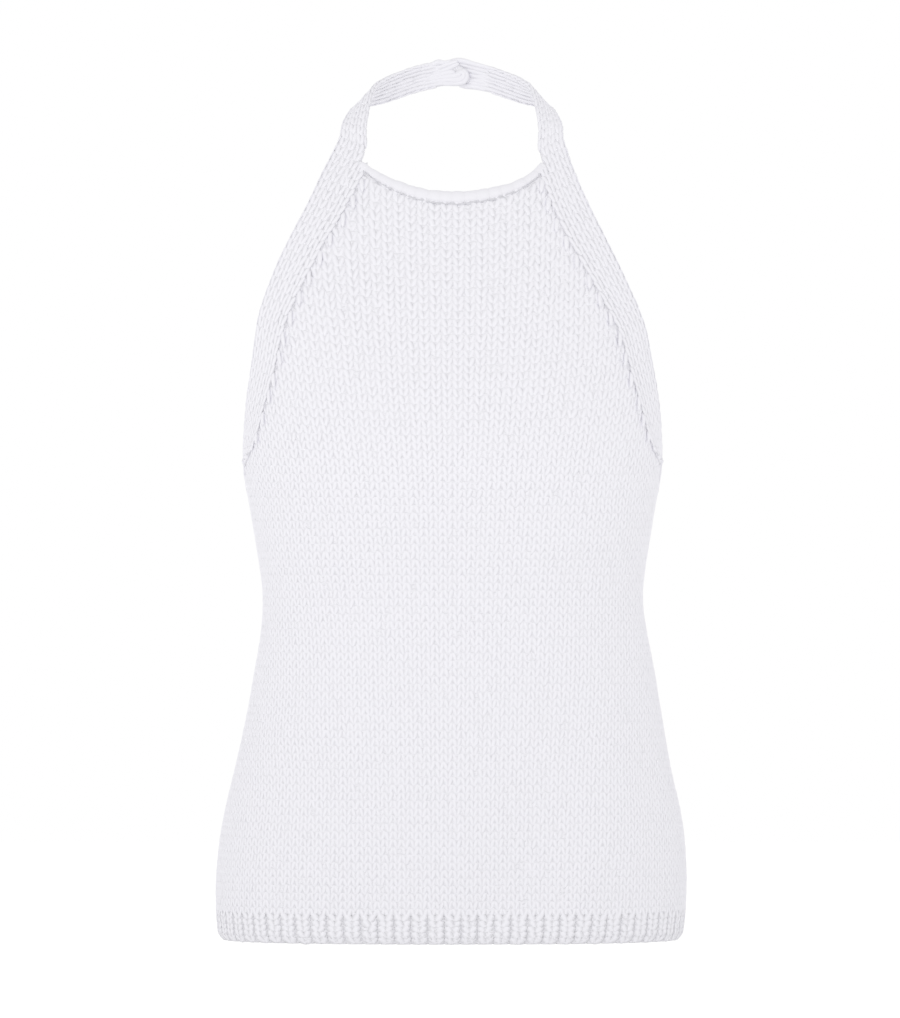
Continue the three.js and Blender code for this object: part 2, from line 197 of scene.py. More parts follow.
# Free strap on the +X side from the neckline corner to the nape: its neck edge and arm edge
STRAP_ROWS = np.array([
    [(64.3, -88, -47), (82, -75, -42)],
    [(62.8, -75, -32), (78.5, -61.5, -34)],
    [(60.5, -58, -19), (74.8, -47.5, -29.5)],
    [(57.5, -41, -10.5), (69.2, -33, -27)],
    [(53, -28, -6.5), (60.8, -21, -25.7)],
    [(47.5, -18, -3.2), (51.5, -12.3, -23.5)],
    [(39, -9.5, 0.3), (41.5, -5, -20)],
    [(27, -2.5, 4.4), (28.3, 0.5, -15.7)],
    [(13, 2, 7.3), (13.5, 3.5, -12.2)],
    [(0, 3, 8.5), (0, 3.8, -10.5)],
])

# Where the rounded end of the -X strap lies past the middle, across the strap
LAP_END = Table("across x", [(0, 1), (0.25, 7), (0.5, 11), (0.75, 11.5), (1, 6)])

# Soft folds: arc and height of the middle, half-length, half-width, lean from upright in
# degrees towards +X as seen from outside, and how far the cloth stands out
FRONT_FOLDS = np.array([
    (-4, -560, 95, 30, 3, 2.6),
    (52, -585, 80, 30, 14, -2.8),
    (-112, -486, 62, 20, 64, 2.6),
    (-118, -528, 60, 26, 70, -2.4),
    (150, -500, 85, 24, -12, -2.6),
    (112, -575, 70, 24, 10, 1.8),
    (96, -352, 60, 17, 72, 1.6),
    (-98, -366, 55, 16, -74, 1.5),
    # finer ones, for the cloth alone
    (-60, -505, 70, 9, 66, 0.9),
    (30, -452, 75, 10, 84, 0.7),
    (-150, -420, 34, 9, 58, 0.8),
    (155, -418, 40, 9, -55, 0.9),
    (70, -300, 60, 11, 80, 0.6),
    (-70, -290, 60, 12, -82, 0.6),
    (120, -330, 42, 8, -60, 0.7),
    (-128, -322, 40, 9, 57, 0.7),
    (10, -232, 70, 12, 88, 0.5),
    (-40, -165, 45, 10, 70, 0.5),
    (45, -150, 45, 10, -66, 0.5),
    (-150, -598, 40, 12, 20, 0.9),
    (96, -612, 34, 12, 8, 0.9),
])
BACK_FOLDS = np.array([
    (-12, -408, 110, 15, 88, 2.4),
    (20, -441, 95, 14, 93, 1.8),
    (48, -572, 80, 26, -6, -2.6),
    (-70, -560, 85, 28, 8, -2.2),
    (-60, -475, 70, 9, 80, 0.9),
    (70, -382, 55, 9, 98, 0.8),
    (-95, -360, 45, 9, 66, 0.8),
    (110, -520, 50, 11, -62, 0.8),
    (0, -345, 80, 10, 91, 0.6),
])

# Form of the body
LEVEL_STEP = 2.0
LEVELS = np.arange(-650, -43, LEVEL_STEP)
SHARES = np.linspace(0, 1, 129)


def quarter_sections(back):
    """Lengths of cloth from a centre line to the side seam, and the sections' shapes."""
    form = FORM.at(LEVELS)
    depth = form["back_y"] - form["side_y"] if back else form["side_y"] - form["front_y"]
    turn = np.linspace(0, math.pi / 2, 257)
    wide = np.sin(turn) ** SECTION_POWER
    deep = np.cos(turn).clip(0) ** SECTION_POWER
    lengths, wides, deeps = [], [], []
    for half_width, reach in zip(form["half_width"], depth):
        steps = np.hypot(half_width * np.diff(wide), reach * np.diff(deep))
        along = np.concatenate([[0], np.cumsum(steps)])
        lengths.append(along[-1])
        wides.append(np.interp(SHARES * along[-1], along, wide))
        deeps.append(np.interp(SHARES * along[-1], along, deep))
    return np.array(lengths), np.array(wides), np.array(deeps)


FRONT_QUARTER = quarter_sections(False)
BACK_QUARTER = quarter_sections(True)


def half_front(z):
    return np.interp(z, LEVELS, FRONT_QUARTER[0])


def half_back(z):
    return np.interp(z, LEVELS, BACK_QUARTER[0])


def looked_up(table, z, share):
    a = np.clip((z - LEVELS[0]) / LEVEL_STEP, 0, len(LEVELS) - 1.001)
    b = np.clip(share, 0, 1) * (len(SHARES) - 1.001)
    i, j = a.astype(int), b.astype(int)
    a, b = a - i, b - j
    low = table[i, j] * (1 - b) + table[i, j + 1] * b
    high = table[i + 1, j] * (1 - b) + table[i + 1, j + 1] * b
    return low * (1 - a) + high * a


def fold_rise(folds, arc, z):
    total = np.zeros(np.broadcast(arc, z).shape)
    for middle, level, reach, spread, lean, rise in folds:
        lean = math.radians(lean)
        aside, up = arc - middle, z - level
        along = (up * math.cos(lean) + aside * math.sin(lean)) / reach
        across = (aside * math.cos(lean) - up * math.sin(lean)) / spread
        total = total + rise * np.exp(-(along**2) - across**2)
    return total


def smooth_step(value, low, high):
    t = np.clip((value - low) / (high - low), 0, 1)
    return t * t * (3 - 2 * t)


def swayed(x, z):
    """Sideways place of a point with its share of the sway."""
    return x + smooth_step(np.abs(x), SWAY_FROM_X, SWAY_FULL_X) * SWAY.at(z)["shift"]


def body_point(z, arc):
    """Point of the outermost form at an arc round the body from the front centre, + to +X."""
    z, arc = np.broadcast_arrays(np.asarray(z, float), np.asarray(arc, float))
    front, rear = half_front(z), half_back(z)
    half = front + rear
    wrapped = (arc + half) % (2 * half) - half
    side = np.where(wrapped < 0, -1.0, 1.0)
    reach = np.abs(wrapped)
    back = reach > front
    from_centre = np.where(back, half - reach, reach)
    share = from_centre / np.where(back, rear, front)
    wide = np.where(back, looked_up(BACK_QUARTER[1], z, share), looked_up(FRONT_QUARTER[1], z, share))
    deep = np.where(back, looked_up(BACK_QUARTER[2], z, share), looked_up(FRONT_QUARTER[2], z, share))
    form = FORM.at(z)
    depth = np.where(back, form["back_y"] - form["side_y"], form["side_y"] - form["front_y"])
    steep = 2 / SECTION_POWER - 1
    out_x = wide**steep / form["half_width"]
    out_y = deep**steep / depth
    size = np.hypot(out_x, out_y)
    # seen from outside, arcs on the back run to -X
    rise = np.where(
        back,
        fold_rise(BACK_FOLDS, side * from_centre, z),
        fold_rise(FRONT_FOLDS, side * from_centre, z),
    )
    lift = rise * smooth_step(np.abs(reach - front), 0, 30) / size
    facing = np.where(back, 1.0, -1.0)
    x = side * (form["half_width"] * wide + out_x * lift)
    y = form["side_y"] + facing * (depth * deep + out_y * lift)
    return np.stack([swayed(x, z), y, z], -1)


def unit(vectors):
    return vectors / np.maximum(np.linalg.norm(vectors, axis=-1, keepdims=True), 1e-9)


def body_place(z, arc):
    """Point of the outermost form and the direction straight out of it."""
    step = 0.8
    across = body_point(z, arc + step) - body_point(z, arc - step)
    up = body_point(z + step, arc) - body_point(z - step, arc)
    return body_point(z, arc), unit(np.cross(across, up))


# Edge bands, neckline and roll
def band_station(edge_z):
    row = ARMHOLE.at(edge_z)
    edge_arc = half_front(edge_z) - SEAM_GAP / 2 - np.maximum(0, row["cut_in"])
    line_arc = edge_arc - np.sqrt(BAND_WIDTH**2 - row["drop"] ** 2)
    return edge_z, edge_arc, edge_z - row["drop"], line_arc


BAND_EDGE_Z = ARMHOLE.rows[0, 0] + np.linspace(0, 1, 160) ** BAND_STEP_POWER * np.ptp(ARMHOLE.rows[:, 0])
BAND = np.stack(band_station(BAND_EDGE_Z))
BAND_FOOT_LINE_Z = BAND[2, 0]


def line_arc_at(z):
    return np.interp(z, BAND[2], BAND[3])


ROLL_END_ARC = float(line_arc_at(ROLL_CORNER_Z)) - ROLL_END_GAP


def roll_rise(share):
    upturn = np.where(share < 0, ROLL_LEFT_UPTURN, ROLL_RIGHT_UPTURN)
    return (1 - upturn) * share**2 + upturn * share**8


def roll_z(share):
    return ROLL_CORNER_Z - ROLL_DIP * (1 - roll_rise(share))


def roll_half_height(share):
    return ROLL_HALF_HEIGHT + (ROLL_END_HALF_HEIGHT - ROLL_HALF_HEIGHT) * share**2


def neckline_z(arc):
    share = arc / ROLL_END_ARC
    return roll_z(share) - roll_half_height(share) * (1 + 0.2 * share**2) - SEAM_GAP


NECK_CENTRE_Z = float(neckline_z(0))
NECK_CORNER_Z = float(neckline_z(ROLL_END_ARC))


# Where a loop lies: wales count from the centre line, courses from the hem rib
def front_zone(wale, course):
    """Height and arc on the front. Above the underarm the courses bow up to both bands."""
    level = RIB_TOP_Z + course * (NECK_CENTRE_Z - RIB_TOP_Z) / FRONT_COURSES
    arc = wale * WALE.at(level)["width"]
    above = np.maximum(0, level - BAND_FOOT_LINE_Z) / (NECK_CENTRE_Z - BAND_FOOT_LINE_Z)
    bow = above * (NECK_CORNER_Z - NECK_CENTRE_Z)
    end = np.where(above > 0, line_arc_at(level + bow), half_front(level))
    # the last courses follow the roll
    share = arc / end
    follows = above**4
    return level + bow * (share**2 * (1 - follows) + roll_rise(share) * follows), arc


def back_zone(wale, course):
    share_up = course / BACK_COURSES
    level = RIB_TOP_Z + share_up * (UNDERARM_Z - BACK_TOP_DIP - RIB_TOP_Z)
    arc = wale * WALE.at(level)["width"]
    share = np.clip(np.abs(arc / half_back(level)), 0, 1)
    top = UNDERARM_Z - BACK_TOP_DIP * (1 - share**2.4)
    return RIB_TOP_Z + share_up * (top - RIB_TOP_Z), arc


def front_place(wale, course):
    z, arc = front_zone(wale, course)
    return body_place(z, arc)


def back_place(wale, course):
    z, arc = back_zone(wale, course)
    return body_place(z, half_front(z) + half_back(z) + arc)


# Meshes
def made_mesh(name, points, quads, triangles=(), marks=None):
    """An object from points in millimetres. marks are three numbers for each point."""
    mesh = bpy.data.meshes.new(name)
    points = np.asarray(points, float).reshape(-1, 3) * MM
    quads = np.asarray(quads, np.int32).reshape(-1, 4)
    triangles = np.asarray(triangles, np.int32).reshape(-1, 3)
    mesh.vertices.add(len(points))
    mesh.vertices.foreach_set("co", points.astype(np.float32).ravel())
    corners = np.concatenate([quads.ravel(), triangles.ravel()])
    mesh.loops.add(len(corners))
    mesh.loops.foreach_set("vertex_index", corners)
    starts = np.concatenate([
        np.arange(len(quads)) * 4,
        len(quads) * 4 + np.arange(len(triangles)) * 3,
    ])
    mesh.polygons.add(len(starts))
    mesh.polygons.foreach_set("loop_start", starts.astype(np.int32))
    mesh.polygons.foreach_set("use_smooth", np.ones(len(starts), bool))
    if marks is not None:
        layer = mesh.attributes.new("loops", "FLOAT_VECTOR", "POINT")
        layer.data.foreach_set("vector", np.asarray(marks, np.float32).ravel())
    mesh.update(calc_edges=True)
    thing = bpy.data.objects.new(name, mesh)
    bpy.context.scene.collection.objects.link(thing)
    return thing


def thin_cloth(name, outer, inner, marks):
    """Closed thin wall between two grids of points; columns run right and rows run up."""
    rows, columns = outer.shape[:2]
    at = np.arange(2 * rows * columns).reshape(2, rows, columns)
    near, far = at

    def quads(a, b, c, d):
        return np.stack([a, b, c, d], -1).reshape(-1, 4)

    faces = [
        quads(near[:-1, :-1], near[:-1, 1:], near[1:, 1:], near[1:, :-1]),
        quads(far[:-1, :-1], far[1:, :-1], far[1:, 1:], far[:-1, 1:]),
        quads(near[:-1, 0], near[1:, 0], far[1:, 0], far[:-1, 0]),
        quads(near[:-1, -1], far[:-1, -1], far[1:, -1], near[1:, -1]),
        quads(near[0, :-1], far[0, :-1], far[0, 1:], near[0, 1:]),
        quads(near[-1, :-1], near[-1, 1:], far[-1, 1:], far[-1, :-1]),
    ]
    points = np.concatenate([outer.reshape(-1, 3), inner.reshape(-1, 3)])
    return made_mesh(name, points, np.concatenate(faces), marks=np.concatenate([marks, marks]))


def uneven(size, amount):
    """Small hand-made differences, never more than three times the amount."""
    return np.clip(rng.normal(0, amount, size), -3 * amount, 3 * amount)


# Stations along one leg of a loop: wales from the loop's middle, courses up from its foot,
# depth of the middle of the yarn, and the yarn's half-width and half-depth as shares
LEG = np.array([
    # wale, course, depth, half_width, half_depth
    (0.03, -0.34, -0.80, 0.0, 0.0),
    (0.11, -0.02, -0.40, 0.86, 0.86),
    (0.24, 0.42, -0.28, 1.00, 1.00),
    (0.36, 0.87, -0.36, 0.95, 0.95),
    (0.45, 1.26, -0.80, 0.0, 0.0),
])
STRAP_LEG = np.array([
    (0.07, -0.36, -0.70, 0.0, 0.0),
    (0.14, 0.00, -0.30, 0.86, 0.86),
    (0.23, 0.42, -0.14, 1.00, 1.00),
    (0.32, 0.86, -0.24, 0.96, 0.96),
    (0.39, 1.26, -0.70, 0.0, 0.0),
])
YARN_SIDES = 5
YARN_TURNS = 2 * math.pi * (np.arange(YARN_SIDES) / YARN_SIDES) + math.pi / 2


def leg_faces(rings):
    """Faces of one leg: rings of points between two tips, the tips first and last."""
    ring = 1 + np.arange(rings * YARN_SIDES).reshape(rings, YARN_SIDES)
    onward = np.roll(ring, -1, axis=1)
    quads = np.stack([ring[:-1], onward[:-1], onward[1:], ring[1:]], -1).reshape(-1, 4)
    last = 1 + rings * YARN_SIDES
    start = np.stack([np.zeros_like(ring[0]), onward[0], ring[0]], -1)
    end = np.stack([np.full_like(ring[0], last), ring[-1], onward[-1]], -1)
    return quads, np.concatenate([start, end]), last + 1


def yarn(lines, outs, half_widths, half_depths, chance):
    """Points, faces and marks of many short yarns. lines and outs are yarns x stations x 3."""
    count, stations = lines.shape[:2]
    along = unit(np.gradient(lines, axis=1))
    aside = unit(np.cross(along, outs))
    out = np.cross(aside, along)
    cos, sin = np.cos(YARN_TURNS), np.sin(YARN_TURNS)
    middle = slice(1, stations - 1)
    rings = (
        lines[:, middle, None]
        + aside[:, middle, None] * (half_widths[:, middle, None] * cos)[..., None]
        + out[:, middle, None] * (half_depths[:, middle, None] * sin)[..., None]
    )
    quads, triangles, size = leg_faces(stations - 2)
    points = np.concatenate([lines[:, :1], rings.reshape(count, -1, 3), lines[:, -1:]], 1)
    t = np.linspace(0, 1, stations)
    turn = np.tile(np.arange(YARN_SIDES) / YARN_SIDES, stations - 2)
    mark_t = np.concatenate([[0], np.repeat(t[middle], YARN_SIDES), [1]])
    mark_turn = np.concatenate([[0], turn, [0]])
    marks = np.empty((count, size, 3))
    marks[..., 0], marks[..., 1] = mark_t, mark_turn
    marks[..., 2] = chance[:, None]
    shift = (np.arange(count) * size)[:, None, None]
    return (
        points.reshape(-1, 3),
        (quads + shift).reshape(-1, 4),
        (triangles + shift).reshape(-1, 3),
        marks.reshape(-1, 3),
    )


def joined(parts):
    """Several yarn bundles as one."""
    points, quads, triangles, marks, count = [], [], [], [], 0
    for p, q, t, m in parts:
        points.append(p)
        quads.append(q + count)
        triangles.append(t + count)
        marks.append(m)
        count += len(p)
    return np.concatenate(points), np.concatenate(quads), np.concatenate(triangles), np.concatenate(marks)


def knit_loops(place, wales, courses, widths, leg=LEG, rough=1.0):
    """Both legs of every loop. place gives point and outward direction at wale and course."""
    wales, courses = np.asarray(wales, float), np.asarray(courses, float)
    n = len(wales)
    widths = np.broadcast_to(widths, n)
    parts = []
    shift_u, shift_v = uneven(n, 0.022), uneven(n, 0.035)
    for side in (-1, 1):
        stations = len(leg)
        u = wales[:, None] + shift_u[:, None] + side * (leg[:, 0] + uneven((n, 1), 0.012))
        v = courses[:, None] + shift_v[:, None] + leg[:, 1] + uneven((n, 1), 0.03)
        points, outs = place(u.ravel(), v.ravel())
        points, outs = points.reshape(n, stations, 3), outs.reshape(n, stations, 3)
        full = 1 + uneven((n, 1), 0.045)
        depth = leg[:, 2] + uneven((n, 1), 0.075 * rough)
        lines = points + outs * depth[..., None]
        half_widths = YARN_WIDTH_SHARE * widths[:, None] * leg[:, 3] * full
        half_depths = YARN_HALF_DEPTH * leg[:, 4] * full
        parts.append(yarn(lines, outs, half_widths, half_depths, rng.random(n)))
    return joined(parts)


def keep(piece, material, node=None):
    """Gives a piece its body and its finish, and the solid that it stands for."""
    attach(piece, BODY)
    piece.data.materials.append(material)
    if node:
        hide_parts(node)
    return piece


# Finishes
class Sum:
    """A number socket on which Python's signs add Math nodes."""

    def __init__(self, finish, socket):
        self.finish, self.socket = finish, socket

    def _with(self, operation, a, b=None):
        values = [a.socket if isinstance(a, Sum) else a]
        if b is not None:
            values.append(b.socket if isinstance(b, Sum) else b)
        return self.finish.maths(operation, *values)

    def __add__(self, other):
        return self._with("ADD", self, other)

    __radd__ = __add__

    def __mul__(self, other):
        return self._with("MULTIPLY", self, other)

    __rmul__ = __mul__

    def __sub__(self, other):
        return self._with("SUBTRACT", self, other)

    def __rsub__(self, other):
        return self._with("SUBTRACT", other, self)

    def __abs__(self):
        return self._with("ABSOLUTE", self)

    def __pow__(self, other):
        return self._with("POWER", self, other)

    def wave(self):
        return self._with("SINE", self)

    def limited(self, low, high):
        return self._with("MINIMUM", self._with("MAXIMUM", self, low), high)


class Finish:
    """A material and its nodes, or those of the world."""

    def __init__(self, name, world=None):
        self.material = world or bpy.data.materials.new(name)
        self.material.use_nodes = True
        self.tree = self.material.node_tree
        self.tree.nodes.clear()

    def node(self, kind, settings=None, **sockets):
        """A node: its settings first, then its sockets' values or links by name or number."""
        made = self.tree.nodes.new(kind)
        for name, value in (settings or {}).items():
            if name == "stops":
                ramp = made.color_ramp
                for i, (place, colour) in enumerate(value):
                    stop = ramp.elements[i] if i < 2 else ramp.elements.new(place)
                    stop.position, stop.color = place, (*colour, 1)
            else:
                setattr(made, name, value)
        for name, value in sockets.items():
            self.put(made, name, value)
        return made

    def put(self, made, name, value):
        key = int(name[1:]) if name[0] == "_" and name[1:].isdigit() else name.replace("_", " ")
        socket = made.inputs[key]
        if isinstance(value, Sum):
            value = value.socket
        if isinstance(value, bpy.types.NodeSocket):
            self.tree.links.new(value, socket)
        else:
            socket.default_value = value

    def maths(self, operation, *values):
        made = self.node("ShaderNodeMath", {"operation": operation})
        for i, value in enumerate(values):
            self.put(made, f"_{i}", value)
        return Sum(self, made.outputs[0])

    def number(self, socket):
        return Sum(self, socket)


def cotton(name, colour, shade, inside=False, divided=False):
    """Thick matt cotton: soft mottling, twisted plies along each yarn and fine fibres."""
    finish = Finish(name)
    place = finish.node("ShaderNodeTexCoord").outputs["Object"]
    loops = finish.node("ShaderNodeAttribute", {"attribute_name": "loops"})
    parts = finish.node("ShaderNodeSeparateXYZ", Vector=loops.outputs["Vector"])
    first, second, third = (finish.number(parts.outputs[i]) for i in range(3))
    mottle = finish.node("ShaderNodeTexNoise", Vector=place, Scale=60.0, Detail=3.0, Roughness=0.55)
    broad = finish.node("ShaderNodeTexNoise", Vector=place, Scale=9.0, Detail=2.0)
    fibre = finish.node("ShaderNodeTexNoise", Vector=place, Scale=1400.0, Detail=2.0, Roughness=0.7)
    speck = finish.number(mottle.outputs["Fac"])
    tone = 0.35 * speck + 0.25 * finish.number(broad.outputs["Fac"])
    if inside:
        # the inner face shows rows of purl bumps
        across = (first * (2 * math.pi)).wave()
        up = ((second * 2 + 0.25 * across) * math.pi).wave()
        relief = 0.8 * up * up + 0.2 * across
        tone = tone + 0.2
        strength, distance = 0.8, 0.0016
    elif divided:
        # soft divisions between the stitches of the roll, with fine yarns between them; at each division the
        # colour goes over to the darker one, as painted shade
        division = abs(((first + 0.06 * speck) * math.pi).wave()) ** 0.35
        relief = 0.8 * division + 0.12 * ((first * 5 + second * 2) * (2 * math.pi)).wave()
        tone = 0.35 * tone + 0.6 * division
        strength, distance = 0.4, 0.0008
    else:
        plies = ((second * 3 + first * 1.6) * (2 * math.pi)).wave()
        relief = 0.5 + 0.5 * plies
        tone = tone + 0.4 * third
        strength, distance = 0.22, 0.0003
    tone = tone.limited(0, 1)
    mixed = finish.node("ShaderNodeMix", {"data_type": "RGBA"}, Factor=tone)
    mixed.inputs[6].default_value = (*shade, 1)
    mixed.inputs[7].default_value = (*colour, 1)
    rough = 0.86 + 0.1 * finish.number(fibre.outputs["Fac"])
    relief = relief + 0.35 * finish.number(fibre.outputs["Fac"])
    bump = finish.node("ShaderNodeBump", Strength=strength, Distance=distance, Height=relief)
    shader = finish.node("ShaderNodeBsdfPrincipled", Roughness=rough, Normal=bump.outputs[0])
    finish.put(shader, "Base_Color", mixed.outputs[2])
    shader.inputs["Sheen Weight"].default_value = 0.12
    shader.inputs["Sheen Roughness"].default_value = 0.6
    shader.inputs["Specular IOR Level"].default_value = 0.2
    finish.node("ShaderNodeOutputMaterial", Surface=shader.outputs[0])
    return finish.material


WHITE, OFF_WHITE = (0.838, 0.824, 0.91), (0.818, 0.804, 0.89)
loop_cotton = cotton("cool white cotton yarn", WHITE, OFF_WHITE)
cloth_cotton = cotton("cotton cloth under the loops", WHITE, OFF_WHITE, inside=True)
rib_cotton = cotton("cotton hem rib", WHITE, OFF_WHITE)
strap_cotton = cotton("cotton strap yarn", WHITE, OFF_WHITE)
# the roll's colours are darker than the knit's: painted shade, since the smooth roll has no hollows to shade
# it and would look brighter
roll_cotton = cotton("rolled cotton edge", (0.80, 0.786, 0.87), (0.73, 0.716, 0.79), divided=True)


def shadowed_gap():
    """Painted shade: the dark colour that stands for the shade in the small holes between stitches."""
    finish = Finish("shadow in small gaps")
    place = finish.node("ShaderNodeTexCoord").outputs["Object"]
    speck = finish.node("ShaderNodeTexNoise", Vector=place, Scale=900.0).outputs["Fac"]
    mixed = finish.node("ShaderNodeMix", {"data_type": "RGBA"}, Factor=finish.number(speck).limited(0, 1))
    # dark greys of painted shade, mottled at random
    mixed.inputs[6].default_value = (0.42, 0.415, 0.47, 1)
    mixed.inputs[7].default_value = (0.56, 0.552, 0.61, 1)
    shader = finish.node("ShaderNodeBsdfPrincipled", Base_Color=mixed.outputs[2], Roughness=1.0)
    shader.inputs["Specular IOR Level"].default_value = 0.0
    finish.node("ShaderNodeOutputMaterial", Surface=shader.outputs[0])
    return finish.material


gap_shadow = shadowed_gap()


def gap_shade_slivers(name, spots, alongs, outs, lengths, half_widths):
    """Slim dark slivers of painted shade that lie between stitches."""
    reach = np.linspace(-0.5, 0.5, 5)
    lines = spots[:, None] + alongs[:, None] * (reach * np.asarray(lengths)[:, None])[..., None]
    lines = lines - np.asarray(outs)[:, None] * (0.8 * np.abs(2 * reach) ** 3)[:, None]
    width = np.asarray(half_widths)[:, None] * np.array([0, 0.85, 1, 0.85, 0])
    outs = np.broadcast_to(outs[:, None], lines.shape)
    bundle = yarn(lines, outs, width, np.full(width.shape, 0.22) * (width > 0), rng.random(len(spots)))
    return keep(made_mesh(name, *bundle), gap_shadow)


# Front and back panels
# A stitch that leans over into the band, from the panel's side: across and along in
# millimetres, depth of its middle and its half-width
MARK_STRAND = np.array([
    (-7.2, -6.5, -1.2, 0),
    (-5.4, -3.6, -0.15, 1.6),
    (-3.4, -0.4, 0.05, 1.9),
    (-1.5, 2.8, -0.1, 1.7),
    (0.2, 6.0, -1.2, 0),
])
MARK_STEP = 16.2
MARK_INSET = 7.2


PANEL_COLUMNS = 81
# How far up behind the roll the front's cloth goes, in courses
BEHIND_ROLL = 0.35


def panel_cloth(name, place, courses, half_width, rows, node):
    """Thin cloth of a panel, with its grid along the courses."""
    v = np.linspace(0.04, courses, rows)[:, None]
    share = np.linspace(-1, 1, PANEL_COLUMNS)[None, :]
    wale = share * half_width(v)
    wale, v = np.broadcast_arrays(wale, v)
    points, outs = place(wale.ravel(), v.ravel())
    shape = (*wale.shape, 3)
    points, outs = points.reshape(shape), outs.reshape(shape)
    marks = np.stack([wale, v, np.zeros_like(v)], -1).reshape(-1, 3)
    cloth = thin_cloth(name, points - outs * CLOTH_DEPTH, points - outs * CLOTH_BACK, marks)
    return keep(cloth, cloth_cotton, node)


def front_half_wales(course):
    """Wales from the centre to the side seam or to the edge band."""
    level = RIB_TOP_Z + course * (NECK_CENTRE_Z - RIB_TOP_Z) / FRONT_COURSES
    above = np.maximum(0, level - BAND_FOOT_LINE_Z) / (NECK_CENTRE_Z - BAND_FOOT_LINE_Z)
    end_z = level + above * (NECK_CORNER_Z - NECK_CENTRE_Z)
    line = line_arc_at(end_z)
    side = half_front(level) - SEAM_GAP / 2
    # the foot of the band slants down from its inner line to the side seam
    foot_z = BAND_EDGE_Z[0] - SEAM_GAP
    share = np.clip((level - foot_z) / (BAND_FOOT_LINE_Z - foot_z), 0, 1)
    return (side + (line - SEAM_GAP - side) * share) / WALE.at(level)["width"]


def back_half_wales(course):
    level = RIB_TOP_Z + course / BACK_COURSES * (UNDERARM_Z - BACK_TOP_DIP - RIB_TOP_Z)
    seam_z = RIB_TOP_Z + course / BACK_COURSES * (UNDERARM_Z - RIB_TOP_Z)
    return (half_back(seam_z) - SEAM_GAP / 2) / WALE.at(level)["width"]


def panel_loops(name, place, half_wales, first, last, slack, beside_band=range(0)):
    """Loops of a panel between two courses. Beside the band they leave room for one more wale."""
    wales, courses = [], []
    for course in range(first, last):
        reach = float(half_wales(np.array(course + 0.5)))
        if course in beside_band:
            reach = reach - MARK_INSET / float(WALE.at(RIB_TOP_Z + course * COURSE)["width"])
        if course >= FRONT_COURSES:
            # behind the roll, short of its slim ends
            reach = 0.75 * reach
        count = int(math.floor(reach + slack))
        column = np.arange(-count, count) + 0.5
        wales.append(column)
        courses.append(np.full(len(column), float(course)))
    wales, courses = np.concatenate(wales), np.concatenate(courses)
    level = RIB_TOP_Z + courses * COURSE
    bundle = knit_loops(place, wales, courses, WALE.at(level)["width"])
    return keep(made_mesh(name, *bundle), loop_cotton)


front_cloth = panel_cloth(
    "front_cloth", front_place, FRONT_COURSES + BEHIND_ROLL, front_half_wales, 120, "front_panel"
)
front_loops = [
    panel_loops("front_loops_low", front_place, front_half_wales, 0, 26, 0.8),
    panel_loops("front_loops_waist", front_place, front_half_wales, 26, 54, 0.8),
    panel_loops("front_loops_bust", front_place, front_half_wales, 54, FRONT_COURSES + 1, 0.8, range(56, 90)),
]


# Waved yarn on the inner face
PURL_HALF_WIDTH = 1.25
PURL_FLATNESS = 0.62


def purl_rows(name, place, half_wales, first, last):
    """Inner face of stocking stitch: each course shows as a waved yarn."""
    bundles = []
    for course in range(first, last):
        reach = float(half_wales(np.array(course + 0.5))) - 0.2
        at = np.linspace(-reach, reach, int(12 * reach))
        wave = 2 * math.pi * at
        across = at + 0.07 * np.sin(2 * wave)
        up = course + 0.5 + 0.27 * np.cos(wave) + uneven(len(at), 0.01)
        points, outs = place(across, up)
        lines = points - outs * (WALL - 0.55 + 0.22 * np.cos(2 * wave))[:, None]
        half_widths = np.full(len(at), PURL_HALF_WIDTH)
        half_widths[[0, -1]] = 0
        half_depths = PURL_FLATNESS * half_widths
        bundles.append(yarn(lines[None], -outs[None], half_widths[None], half_depths[None], np.array([0.5])))
    return keep(made_mesh(name, *joined(bundles)), loop_cotton)


front_loops.append(purl_rows("front_purl_inside", front_place, front_half_wales, 57, FRONT_COURSES))
back_cloth = panel_cloth("back_cloth", back_place, BACK_COURSES, back_half_wales, 80, "back_panel")
back_loops = [
    panel_loops("back_loops_low", back_place, back_half_wales, 0, 26, 0.8),
    panel_loops("back_loops_high", back_place, back_half_wales, 26, BACK_COURSES, 0.8),
]


# Hem rib
def rib_place(back, rib, course):
    """rib counts raised ribs from the -X side seam as seen from outside; course from the rib's foot."""
    z = HEM_Z + course * (RIB_TOP_Z - HEM_Z) / RIB_COURSES
    middle = half_front(z) + half_back(z) if back else 0
    reach = (half_back(z) if back else half_front(z)) - SEAM_GAP / 2
    arc = middle + (2 * rib / RIBS_EACH_SIDE - 1) * reach
    return body_place(z, arc)


def rib_rise(rib, z):
    """How far the rib stands out: broad ribs with narrow valleys that run out upwards."""
    strength = np.interp(z, [HEM_Z, -640.5, -632.5, RIB_TOP_Z], [0.75, 0.8, 0.7, 0.55])
    from_middle = np.abs(2 * (rib % 1) - 1)
    return strength * (0.4 * RIB_RISE - 0.8 * RIB_SINK * from_middle**10)


